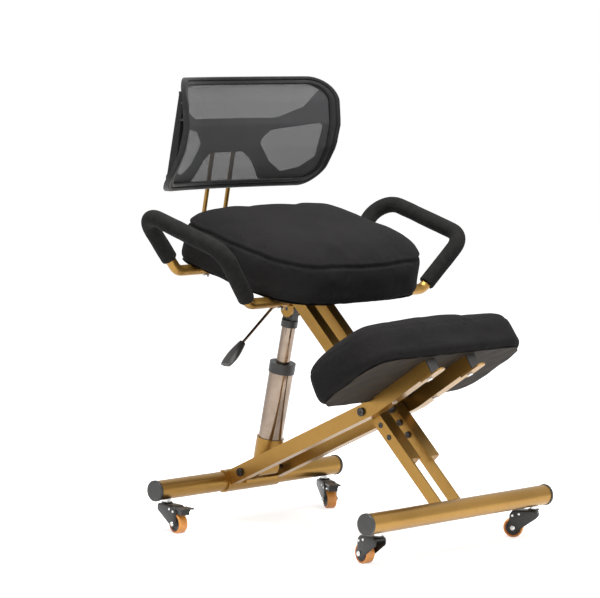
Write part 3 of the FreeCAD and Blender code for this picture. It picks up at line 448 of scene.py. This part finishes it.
charcoal, place, shader = finish("charcoal_woven_fabric")
slope = place.node("ShaderNodeMapping", {}, {"Vector": place, "Rotation": (math.radians(-14.0), 0, 0)})
across = slope.part("X") + slope.part("Z") * 0.7
along = slope.part("Y") + slope.part("Z")
thread = 5200.0
weave = (across * thread).sine() * (along * thread).sine()
slub = place.grain(620.0, 3.0, 0.6)
shade = place.grain(7.0, 3.0).limited(0.3, 0.7)
fleck = place.cells(1500.0).limited(0.0, 0.35)
dark = shade.between((0.0100, 0.0095, 0.0095, 1), (0.0125, 0.0118, 0.0118, 1))
raised = (slub * 0.7 + weave * 0.15).limited(0.25, 0.65)
lay(shader, {"Base Color": raised.between(dark, (0.026, 0.0245, 0.0245, 1)),
             "Roughness": 0.9, "Specular IOR Level": 0.06,
             "Normal": (weave * 0.35 + slub * 0.9 + fleck * 0.3).bump(0.00035, 0.7)})


def pad_edge(half_w, front, rear, r_front, r_rear, bow_front, bow_rear, bow_side, inset, steps=14):
    """Points round a pad's edge: round corners between bowed sides."""
    w, f, b = half_w - inset, front - inset, rear - inset
    rf, rb = max(r_front - inset, 18.0), max(r_rear - inset, 18.0)
    points = []

    def bend(cx, cy, r, start):
        for k in range(steps):
            t = math.radians(start + 90.0 * k / steps)
            points.append((cx + r * math.cos(t), cy + r * math.sin(t)))

    def side(ax, ay, bx, by, bow_x, bow_y):
        for k in range(steps):
            t = k / steps
            lift = 1 - (2 * t - 1) ** 2
            points.append((ax + (bx - ax) * t + bow_x * lift, ay + (by - ay) * t + bow_y * lift))

    bend(w - rb, b - rb, rb, 0)
    side(w - rb, b, -w + rb, b, 0, bow_rear)
    bend(-w + rb, b - rb, rb, 90)
    side(-w, b - rb, -w, -f + rf, -bow_side, 0)
    bend(-w + rf, -f + rf, rf, 180)
    side(-w + rf, -f, w - rf, -f, 0, -bow_front)
    bend(w - rf, -f + rf, rf, 270)
    side(w, -f + rf, w, b - rb, bow_side, 0)
    return points


def stuffed(name, shape, sections, seam_height, sewn):
    """A pad: drawn up through its sections, remeshed, blown up as cloth, and seamed."""
    pad = plate(name, [(x / 1000, y / 1000) for x, y in pad_edge(*shape, sections[0][1])])
    for (low, _), (high, inset) in zip(sections, sections[1:]):
        bpy.ops.mesh.extrude_region_move(TRANSFORM_OT_translate={"value": (0, 0, (high - low) / 1000)})
        bpy.ops.object.mode_set(mode="OBJECT")
        ring = [v for v in pad.data.vertices if v.select]
        for vertex, (x, y) in zip(ring, pad_edge(*shape, inset)):
            vertex.co.x, vertex.co.y = x / 1000, y / 1000
        bpy.ops.object.mode_set(mode="EDIT")
    bpy.ops.object.mode_set(mode="OBJECT")
    keep(pad, ("REMESH", {"mode": "VOXEL", "voxel_size": 0.005}), angle=180)

    # the stuffing pushes the cover out, except where it is held to the board
    pressure, share, room, held, easing = 4.0, 0.75, 0.010, 0.010, 0.020
    rest = [v.co.copy() for v in pad.data.vertices]
    cloth = pad.modifiers.new("stuffing", "CLOTH")
    cloth.settings.use_pressure = True
    cloth.settings.uniform_pressure_force = pressure
    cloth.settings.effector_weights.gravity = 0.0
    cloth.settings.quality = 5
    for step in range(1, 21):
        bpy.context.scene.frame_set(step)
    swollen = pad.evaluated_get(bpy.context.evaluated_depsgraph_get()).to_mesh()
    grown = [v.co.copy() for v in swollen.vertices]
    pad.modifiers.remove(cloth)
    bpy.context.scene.frame_set(1)
    for vertex, old, new in zip(pad.data.vertices, rest, grown):
        move = (new - old) * share
        if move.length > room:
            move *= room / move.length
        vertex.co = old + move * min(max((old.z - held) / easing, 0.0), 1.0)
    keep(pad, ("SMOOTH", {"factor": 0.5, "iterations": 14}),
         ("SUBSURF", {"levels": 1, "render_levels": 1}), angle=180)

    # the seam draws the side in under a small welt; the cover waves above and tucks at its foot
    seam_width, seam_depth, pucker, welt, wave, tuck = 0.0032, 0.0034, 0.0011, 0.0010, 0.0016, 0.0014
    skin = [(v.co.copy(), v.normal.copy()) for v in pad.data.vertices]
    for vertex, (p, n) in zip(pad.data.vertices, skin):
        out = 0.0
        if math.hypot(n.x, n.y) > 0.25:
            near = (p.z - seam_height) / seam_width
            out -= seam_depth * sewn * math.exp(-near * near)
            out -= noise.noise(p * 95.0) * pucker * math.exp(-(near / 5.0) ** 2)
            out += welt * sewn * math.exp(-(near - 1.9) ** 2)
        if p.z > 0.02:
            out += noise.noise(p * 14.0) * wave
        elif p.z > 0.001:
            out += noise.noise(Vector((p.x, p.y, 0)) * 55.0) * tuck
        vertex.co = p + n * out
    return keep(pad, angle=180)


def pad_place(y, z, tilt):
    return Matrix.Translation((0, y, z)) @ Matrix.Rotation(math.radians(tilt), 4, "X")


# A shape is its half width, front and rear reach, front and rear corners, and how far front, rear and
# sides bow out. A rise is a row of heights with how far the edge is drawn in at each. All are in mm.
SEAT_SHAPE = (219.5, 180.0, 172.5, 108.0, 60.0, 12.0, 8.0, 4.0)
SEAT_RISE = ((0.5, 9.0), (12.0, 3.0), (36.0, 1.0), (66.0, 3.0), (80.0, 7.0), (91.0, 18.0), (102.0, 48.0),
             (109.0, 94.0))
KNEE_SHAPE = (232.0, 107.0, 106.5, 62.0, 62.0, 6.0, -10.0, 5.0)
KNEE_RISE = ((0.5, 13.0), (5.0, 6.0), (14.0, 1.0), (34.0, 0.0), (56.0, 2.0), (68.0, 7.0), (78.0, 19.0),
             (86.0, 42.0), (91.0, 74.0))
SEAT_SPOT, KNEE_SPOT = (0.0907, 0.5099, 14.16), (-0.2346, 0.3331, -32.74)
for name, body, shape, rise, seam_height, sewn, spot in (
        ("seat", "seat_frame", SEAT_SHAPE, SEAT_RISE, 0.074, 1.0, SEAT_SPOT),
        ("knee", "rear_frame", KNEE_SHAPE, KNEE_RISE, 0.064, 0.25, KNEE_SPOT)):
    pad = stuffed(name + "_pad", shape, rise, seam_height, sewn)
    pad.data.transform(pad_place(*spot))
    coated(pad, charcoal)
    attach(pad, body)
    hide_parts(name + "_cushion", name + "_board")

# Linings: a flat cut of black non-woven cloth closes the underside of each pad. It is stapled to the
# board near its edge, so that it puckers between the staples.

lining, place, shader = finish("black_lining_cloth")
fuzz = place.grain(1400.0, 3.0, 0.7)
wave = place.grain(40.0, 3.0).limited(0.3, 0.7)
lay(shader, {"Base Color": wave.between((0.009, 0.0055, 0.0026, 1), (0.017, 0.0105, 0.0045, 1)),
             "Roughness": 0.80, "Specular IOR Level": 0.3, "Normal": fuzz.bump(0.00025, 0.8)})
for name, body, shape, hem, spot in (("seat", "seat_frame", SEAT_SHAPE, 9.0, SEAT_SPOT),
                                     ("knee", "rear_frame", KNEE_SHAPE, 13.0, KNEE_SPOT)):
    clear()
    bpy.ops.mesh.primitive_grid_add(x_subdivisions=110, y_subdivisions=60, size=2.0)
    cloth = bpy.context.object
    cloth.name = name + "_lining"
    half_w, front, rear = shape[0] - hem, shape[1] - hem, shape[2] - hem
    corner_f, corner_r = shape[3] - hem, shape[4] - hem
    for vertex in cloth.data.vertices:
        u, v = vertex.co.x, vertex.co.y
        y = v * (front if v < 0 else rear)
        r, over = (corner_f, front - abs(y)) if v < 0 else (corner_r, rear - abs(y))
        if over < r:
            wide = half_w - r + math.sqrt(max(r * r - (r - over) ** 2, 0.0))
        else:
            wide = half_w
        x = u * wide
        pull = math.exp(-max(min(wide - abs(x), over), 0.0) / 26.0)
        crease = noise.noise(Vector((x * 0.045, y * 0.045, 3.0))) * 0.5 + math.sin((x + y) * 0.11) * 0.3
        vertex.co = (x / 1000, y / 1000, -0.0003 - 0.0016 * pull * (0.5 + crease)
                     - 0.0005 * abs(noise.noise(Vector((x * 0.02, y * 0.02, 9.0)))))
    keep(cloth, ("SOLIDIFY", {"thickness": 0.0004, "offset": 0.0}), angle=60)
    cloth.data.transform(pad_place(*spot))
    coated(cloth, lining)
    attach(cloth, body)
    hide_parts(name + "_base_cloth")
    half_w * 2 / 1000
    (front + rear) / 1000
    name + "_pad"
    ((half_w * 2 * (front + rear)
                   - 2 * (corner_f ** 2 + corner_r ** 2) * (1 - math.pi / 4)) / 1e6)

# Handle grips: grey foam sleeves pushed over the gold tube, with a fine open skin that shows pores.

foam, place, shader = finish("grey_foam_grip")
pore = place.cells(1100.0).limited(0.15, 0.5)
mottle = place.grain(70.0, 4.0, 0.6).limited(0.3, 0.7)
tint = (pore * 0.5 + mottle * 0.5).between((0.007, 0.0068, 0.0066, 1), (0.017, 0.0165, 0.016, 1))
lay(shader, {"Base Color": tint, "Roughness": 0.88, "Specular IOR Level": 0.10,
             "Normal": (pore + mottle * 0.3).bump(0.0003, 0.7)})
for hand in ("right", "left"):
    clear()
    sleeve = bpy.data.objects.new("foam_grip_" + hand, nodes["grip_" + hand].data.copy())
    bpy.context.scene.collection.objects.link(sleeve)
    sleeve.select_set(True)
    bpy.context.view_layer.objects.active = sleeve
    bpy.ops.object.mode_set(mode="EDIT")
    bpy.ops.mesh.select_all(action="SELECT")
    bpy.ops.mesh.remove_doubles(threshold=0.00002)
    bpy.ops.object.mode_set(mode="OBJECT")
    keep(sleeve, ("REMESH", {"mode": "VOXEL", "voxel_size": 0.0022}),
         ("SMOOTH", {"factor": 0.5, "iterations": 6}), angle=180)
    skin = [(v.co.copy(), v.normal.copy()) for v in sleeve.data.vertices]
    for vertex, (p, n) in zip(sleeve.data.vertices, skin):
        vertex.co = p + n * (noise.noise(p * 30.0) * 0.0006 + 0.0002)
    coated(sleeve, foam)
    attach(sleeve, "seat_frame")
    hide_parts("grip_" + hand)

# Back rest: a moulded black rim with a groove round its face, an open mesh stretched in it, and a
# butterfly-shaped moulded carrier behind, screwed to the rim and clipped to two bent steel rods.

# The curve of the back: heights, where its middle lies there, and how far its sides come forward, in mm.
BACK_CURVE = ((650.0, 358.0, 22.0), (690.0, 342.0, 46.0), (725.0, 332.0, 68.0), (765.0, 325.0, 87.0),
              (812.0, 320.0, 95.0), (860.0, 323.0, 95.0), (904.0, 329.0, 92.0), (940.0, 335.0, 90.0))
HALF_BACK, LEAN_BACK = 221.0, math.radians(-0.84)


def upright(x, y, z):
    """Millimetres on the drawing to metres on the floor, which the drawn chair leans over by a little."""
    return Vector((x, y * math.cos(LEAN_BACK) - z * math.sin(LEAN_BACK) - 44.8,
                   y * math.sin(LEAN_BACK) + z * math.cos(LEAN_BACK) - 1.6)) / 1000


def on_back(x, z, depth):
    """The point of the back's curved surface at (x, z), depth behind it."""
    for (z0, m0, r0), (z1, m1, r1) in zip(BACK_CURVE, BACK_CURVE[1:]):
        if z <= z1 or z1 == 940.0:
            f = (z - z0) / (z1 - z0)
            middle, reach = m0 + (m1 - m0) * f, r0 + (r1 - r0) * f
            return upright(x, middle - reach * (x / HALF_BACK) ** 2 + depth, z)


def bent_to_back(piece):
    """A piece drawn flat, in metres with its depth along Y, is laid on the back's surface."""
    for vertex in piece.data.vertices:
        x, y, z = vertex.co * 1000
        vertex.co = on_back(x, z, y)


back_mould, place, shader = finish("black_back_moulding")
sand = place.grain(1300.0, 2.0)
wear = place.grain(45.0, 4.0, 0.6).limited(0.45, 0.75)
lay(shader, {"Base Color": wear.between((0.010, 0.010, 0.010, 1), (0.018, 0.018, 0.018, 1)),
             "Roughness": 0.46 - wear * 0.08, "Specular IOR Level": 0.22, "Normal": sand.bump(0.00012, 0.6)})

# the straight sides are divided so that they can follow the curve
ring = []
corners = rounded([(x / 1000, z / 1000, r / 1000) for x, z, r in
                   ((HALF_BACK, 683.0, 40.0), (HALF_BACK, 911.0, 52.0),
                    (-HALF_BACK, 911.0, 52.0), (-HALF_BACK, 683.0, 40.0))], 12)
for a, b in zip(corners, corners[1:] + corners[:1]):
    parts = max(1, round((b - a).length / 0.012))
    ring += [a.lerp(b, k / parts) for k in range(parts)]
rim = plate("back_rim", ring, lambda x, z: (x, 0.0005, z))
# an outer slope and land, a groove down, along and up, then the inner land and slope
for width, depth in ((0.0018, 0.0020), (0.0042, 0.0002), (0.0010, -0.0026), (0.0010, 0.0), (0.0010, 0.0026),
                     (0.0052, 0.0), (0.0022, -0.0022)):
    bpy.ops.mesh.inset(thickness=width, depth=depth)
bpy.ops.mesh.delete(type="ONLY_FACE")
bpy.ops.object.mode_set(mode="OBJECT")
# the outline's direction decides which way the face looks; its groove is turned to the front
middle = 0.0005
if sum(v.co.y for v in rim.data.vertices) / len(rim.data.vertices) > middle:
    for vertex in rim.data.vertices:
        vertex.co.y = 2 * middle - vertex.co.y
bpy.ops.object.mode_set(mode="EDIT")
bpy.ops.mesh.select_mode(type="EDGE")
bpy.ops.mesh.select_all(action="DESELECT")
bpy.ops.mesh.select_non_manifold()
bpy.ops.mesh.extrude_edges_move(TRANSFORM_OT_translate={"value": (0, 0.0135, 0)})
bpy.ops.mesh.bridge_edge_loops()
bpy.ops.object.mode_set(mode="OBJECT")
keep(rim, ("BEVEL", {"width": 0.0009, "segments": 2, "limit_method": "ANGLE", "angle_limit": 0.9}))
bent_to_back(rim)
keep(rim, angle=40)
coated(rim, back_mould)
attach(rim, "backrest")
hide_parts("back_frame")

net, place, shader = finish("black_back_mesh")
spread = place.node("ShaderNodeUVMap", {"uv_map": "cloth"}, {})
across, along = spread.part("X"), spread.part("Y")
yarns, half_hole = 380.0, 0.175
left_yarn = (((across + along) * yarns).fraction() - 0.5).size()
right_yarn = (((across - along) * yarns).fraction() - 0.5).size()
hole = (left_yarn < half_hole) * (right_yarn < half_hole)
lay(shader, {"Base Color": place.grain(30.0).between((0.016, 0.016, 0.017, 1), (0.026, 0.026, 0.028, 1)),
             "Roughness": 0.65, "Alpha": 1 - hole, "Normal": (left_yarn + right_yarn).bump(0.0004, 0.6)})
clear()
bpy.ops.mesh.primitive_grid_add(x_subdivisions=90, y_subdivisions=48, size=2.0)
netting = bpy.context.object
netting.name = "back_netting"
layer = netting.data.uv_layers.new(name="cloth")
half_wide, half_tall, centre, top_corner, foot_corner = 208.0, 101.0, 797.0, 46.0, 34.0
flat = []
for vertex in netting.data.vertices:
    u, v = vertex.co.x, vertex.co.y
    z = centre + v * half_tall
    r = top_corner if v > 0 else foot_corner
    over = half_tall - abs(v) * half_tall
    wide = half_wide - (r - math.sqrt(max(r * r - (r - over) ** 2, 0.0)) if over < r else 0.0)
    x = u * wide
    # the weave is laid out by the way along the curve, so that it isn't stretched
    run = sum((on_back(x * (k + 1) / 12, z, 0) - on_back(x * k / 12, z, 0)).length for k in range(12))
    flat.append((math.copysign(run, x) + 1.0, z / 1000))
    slack = math.cos(u * math.pi / 2) * math.cos(v * math.pi / 2) * 0.6
    vertex.co = on_back(x, z, 4.6 + slack)
for loop, coords in zip(netting.data.loops, layer.data):
    coords.uv = flat[loop.vertex_index]
clear()
netting.select_set(True)
bpy.context.view_layer.objects.active = netting
bpy.ops.object.shade_smooth()
netting.data.materials.append(net)
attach(netting, "backrest")
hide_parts("back_mesh")

# The carrier: a waist with two arms to each side that meet at the rim, round an opening.
carrier_edge = [(-120, 826, 20), (120, 826, 20), (172, 848, 14), (202, 884, 10), (217, 884, 6), (217, 716, 8),
                (192, 700, 12), (140, 689, 16), (98, 700, 16), (70, 741, 20), (48, 757, 8), (-48, 757, 8),
                (-70, 741, 20), (-98, 700, 16), (-140, 689, 16), (-192, 700, 12), (-217, 716, 8),
                (-217, 884, 6), (-202, 884, 10), (-172, 848, 14)]
side_hole = [(82, 776, 12), (110, 736, 18), (142, 713, 16), (180, 722, 12), (203, 744, 8), (203, 815, 8),
             (104, 800, 12)]
clear()
outline = bpy.data.curves.new("carrier_outline", "CURVE")
outline.dimensions = "2D"
outline.fill_mode = "BOTH"
for loop in (carrier_edge, side_hole, [(-x, z, r) for x, z, r in reversed(side_hole)]):
    spots = rounded([(x / 1000, z / 1000, r / 1000) for x, z, r in loop])
    spline = outline.splines.new("POLY")
    spline.points.add(len(spots) - 1)
    spline.use_cyclic_u = True
    for point, spot in zip(spline.points, spots):
        point.co = (spot.x, spot.y, 0, 1)
carrier = bpy.data.objects.new("back_carrier_moulding", outline)
bpy.context.scene.collection.objects.link(carrier)
carrier.select_set(True)
bpy.context.view_layer.objects.active = carrier
bpy.ops.object.convert(target="MESH")
carrier = bpy.context.object
for vertex in carrier.data.vertices:
    vertex.co = (vertex.co.x, 0.0153, vertex.co.y)
bpy.ops.object.mode_set(mode="EDIT")
bpy.ops.mesh.select_all(action="SELECT")
bpy.ops.mesh.remove_doubles(threshold=0.00005)
# it is cut across every 12.5 mm, so that it can follow the curve
for k in range(-17, 18):
    bpy.ops.mesh.select_all(action="SELECT")
    bpy.ops.mesh.bisect(plane_co=(k * 0.0125, 0, 0), plane_no=(1, 0, 0))
bpy.ops.mesh.select_all(action="SELECT")
bpy.ops.mesh.extrude_region_move(TRANSFORM_OT_translate={"value": (0, 0.0052, 0)})
bpy.ops.object.mode_set(mode="OBJECT")
keep(carrier)
keep(carrier, ("BEVEL", {"width": 0.0005, "segments": 1, "limit_method": "ANGLE", "angle_limit": 0.9}))
bent_to_back(carrier)
# the clamp block in the middle of the waist, hollowed at the rear and leaning with the rods
clear()
bpy.ops.mesh.primitive_cube_add(size=1.0)
block = bpy.context.object
block.scale = (0.092, 0.018, 0.065)
block.location = (0, 0.001, 0)
bpy.ops.object.transform_apply(location=True, rotation=True, scale=True)
for face in block.data.polygons:
    face.select = face.normal.y > 0.9
bpy.ops.object.mode_set(mode="EDIT")
bpy.ops.mesh.select_mode(type="FACE")
bpy.ops.mesh.inset(thickness=0.010)
bpy.ops.mesh.inset(thickness=0.002, depth=-0.003)
bpy.ops.object.mode_set(mode="OBJECT")
keep(block, ("BEVEL", {"width": 0.0030, "segments": 3, "limit_method": "ANGLE"}))
lean, middle = math.radians(12.0), (757.0 + 822.0) / 2
spot = upright(0, 376.0 - (middle - 640.0) * math.tan(lean), middle)
block.data.transform(Matrix.Translation(spot) @ Matrix.Rotation(lean + LEAN_BACK, 4, "X"))
carrier = joined("back_carrier_moulding", carrier, block)
keep(carrier, angle=35)
coated(carrier, back_mould)
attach(carrier, "backrest")
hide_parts("back_carrier")
